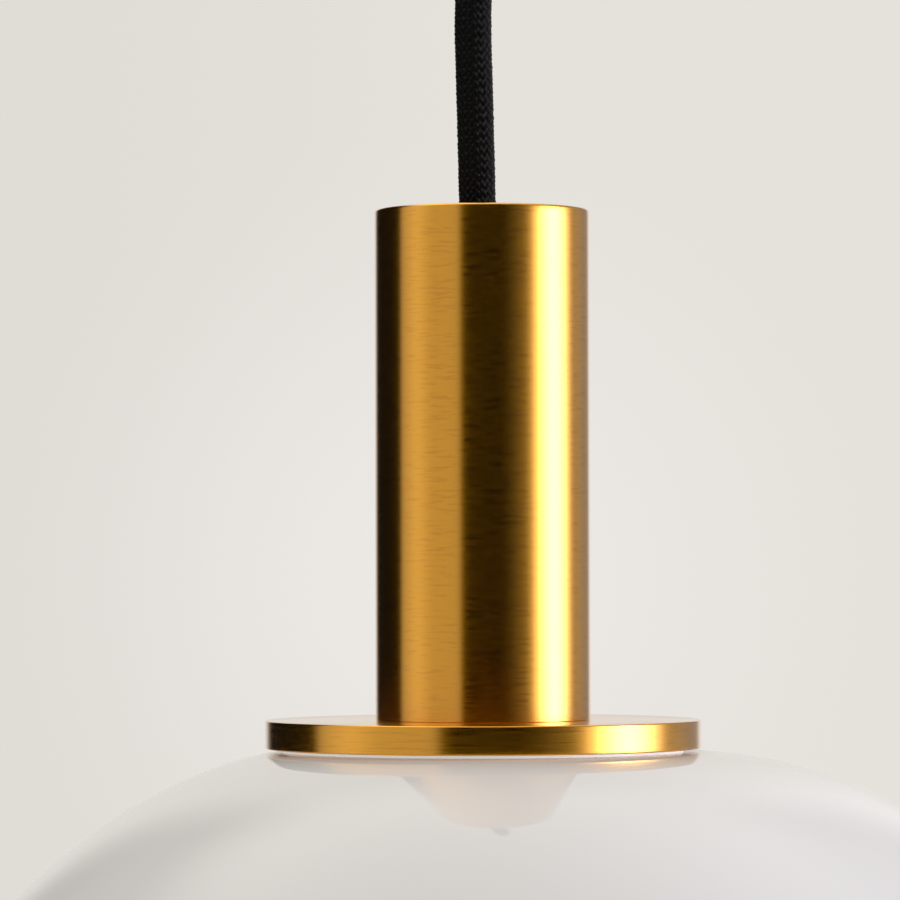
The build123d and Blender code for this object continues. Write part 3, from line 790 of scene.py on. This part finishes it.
# ---------------------------------------------------------------- CAD nodes that stay
def finish_kept_nodes():
    """Gives every CAD node that is still shown the finish that its record slot names."""
    for node in frame["nodes"].values():
        if node.hide_render:
            continue
        for place in node.material_slots:
            place.material = MATERIALS[place.material.name.split(".")[0]]


finish_kept_nodes()


def keep_ceiling_end_off_lamp():
    """The real cord is longer than what is modelled, so the ceiling end isn't mirrored in the lamp
    and casts no shadow on it."""
    ceiling = frame["bodies"]["ceiling"]
    for piece in ceiling.children:
        piece.visible_glossy = False
        piece.visible_diffuse = False
        piece.visible_shadow = False


keep_ceiling_end_off_lamp()


# ---------------------------------------------------------------- studio
# The backdrop the camera sees is painted light: darker to the left, lighter to the right, with a painted
# glow behind the lamp.
BACKDROP_LEFT = rgb(0.745, 0.72, 0.68)
BACKDROP_RIGHT = rgb(0.785, 0.755, 0.712)
BACKDROP_GLOW = rgb(0.84, 0.815, 0.785)
GLOW_SPREAD = 0.1
BACKDROP_TURN = (-0.09, 0.03)
# Soft panels round the lamp: direction of the middle and half width in degrees (0 is the
# camera's side, positive to its right), softness of the edges, and brightness.
PANELS = [
    (-60.5, 37, 3.5, 0.57),
    (-75, 9, 13, 0.24),
    (82, 34, 29, 0.42),
    (138, 24, 14, 0.30),
    (180, 22, 8, 0.75),
]
WINDOW = (81, 2, 38, 9.0)
# Rises are sines of the elevation: how high the window reaches, where the light overhead
# starts and is full, and the same for the light from the floor.
WINDOW_RISE = (0.1, 0.3)
OVERHEAD_RISE = (0.6, 0.85)
UNDERFOOT_RISE = (-0.8, -0.55)
STUDIO_COLOR = rgb(1.0, 0.972, 0.925)
WINDOW_COLOR = rgb(1.0, 0.985, 1.14)
SHADE_LEVEL = 0.009
TOP_LIGHT = 1.36
TOP_LEAN = 0.85
FLOOR_LIGHT = 0.75


def make_world():
    """Pale backdrop for the camera, and a studio of soft panels for the lamp."""
    world = bpy.data.worlds.new("studio")
    bpy.context.scene.world = world
    world.use_nodes = True
    nodes = Nodes(world.node_tree)
    direction = nodes.node("ShaderNodeTexCoord").outputs["Generated"]
    x, y, z = nodes.xyz(direction)
    bearing = nodes.math("ARCTAN2", x, nodes.math("MULTIPLY", y, -1))

    def panel(middle, half, soft, strength):
        away = nodes.math("WRAP", nodes.math("SUBTRACT", bearing, math.radians(middle)), math.pi, -math.pi)
        away = nodes.math("ABSOLUTE", away)
        shape = nodes.ramp(away, math.radians(max(half - soft, 0)), math.radians(half + soft), 1.0, 0.0)
        return nodes.math("MULTIPLY", shape, strength)

    middle, half, soft, brightness = WINDOW
    window = nodes.math("POWER", panel(middle, half, soft, 1.0), 2)
    window = nodes.math("MULTIPLY", window, brightness)
    window = nodes.math("MULTIPLY", window, nodes.ramp(nodes.math("ABSOLUTE", z), *WINDOW_RISE, 1.0, 0.0))
    light = nodes.total(SHADE_LEVEL, *(panel(*row) for row in PANELS))
    above, below = nodes.ramp(z, *OVERHEAD_RISE), nodes.ramp(z, *UNDERFOOT_RISE, 1.0, 0.0)
    level = nodes.math("MULTIPLY", nodes.ramp(z, *OVERHEAD_RISE, 1.0, 0.0), nodes.ramp(z, *UNDERFOOT_RISE))
    top = nodes.math("MULTIPLY", above, nodes.math("MULTIPLY_ADD", x, -TOP_LEAN, TOP_LIGHT))
    floor = nodes.math("MULTIPLY", below, FLOOR_LIGHT)
    strength = nodes.total(nodes.math("MULTIPLY", light, level), top, floor)
    studio = nodes.node("ShaderNodeBackground", {"Color": STUDIO_COLOR, "Strength": strength})
    daylight = nodes.node("ShaderNodeBackground", {"Color": WINDOW_COLOR, "Strength": window})
    lamp_light = nodes.node("ShaderNodeAddShader")
    nodes.put(lamp_light.inputs[0], studio.outputs[0])
    nodes.put(lamp_light.inputs[1], daylight.outputs[0])

    # Painted glow behind the lamp and painted shade towards the left of the backdrop.
    glow = nodes.ramp(nodes.length(x, z), 0.0, GLOW_SPREAD, 1.0, 0.0)
    sky = nodes.mix(nodes.ramp(x, *BACKDROP_TURN), BACKDROP_LEFT, BACKDROP_RIGHT)
    sky = nodes.mix(glow, sky, BACKDROP_GLOW)
    seen = nodes.node("ShaderNodeBackground", {"Color": sky, "Strength": 1.0})
    camera_ray = nodes.node("ShaderNodeLightPath").outputs["Is Camera Ray"]
    both = nodes.mix_shaders(camera_ray, lamp_light.outputs[0], seen.outputs[0])
    nodes.node("ShaderNodeOutputWorld", {"Surface": both})


FLOOR_Z = -6.0
FLOOR_RADIUS = 18.0
FLOOR_CORNERS = 64
FLOOR_FADE = (0.5, 12.6)


def make_floor():
    """Pale floor far below the lamp that fades into the backdrop."""
    mesh = bpy.data.meshes.new("floor")
    turns = [2 * math.pi * step / FLOOR_CORNERS for step in range(FLOOR_CORNERS)]
    points = [(FLOOR_RADIUS * math.cos(turn), FLOOR_RADIUS * math.sin(turn), FLOOR_Z) for turn in turns]
    mesh.from_pydata(points, [], [tuple(range(FLOOR_CORNERS))])
    floor = bpy.data.objects.new("floor", mesh)
    bpy.context.scene.collection.objects.link(floor)
    floor.visible_glossy = False
    floor.visible_diffuse = False
    floor.visible_transmission = False
    floor.visible_shadow = False
    finish = bpy.data.materials.new("floor")
    finish.use_nodes = True
    nodes = Nodes(finish.node_tree)
    place = nodes.node("ShaderNodeTexCoord").outputs["Object"]
    x, y, _ = nodes.xyz(place)
    fade = nodes.ramp(nodes.length(x, y), *FLOOR_FADE)
    mottle = nodes.noise(place, 3, 3)
    tone = nodes.mix(mottle, rgb(0.72, 0.70, 0.67), rgb(0.75, 0.73, 0.70))
    pale = nodes.node("ShaderNodeBsdfDiffuse", {"Color": tone}).outputs[0]
    clear = nodes.node("ShaderNodeBsdfTransparent").outputs[0]
    nodes.node("ShaderNodeOutputMaterial", {"Surface": nodes.mix_shaders(fade, pale, clear)})
    mesh.materials.append(finish)


make_world()
make_floor()
bpy.context.scene.view_settings.view_transform = "Standard"
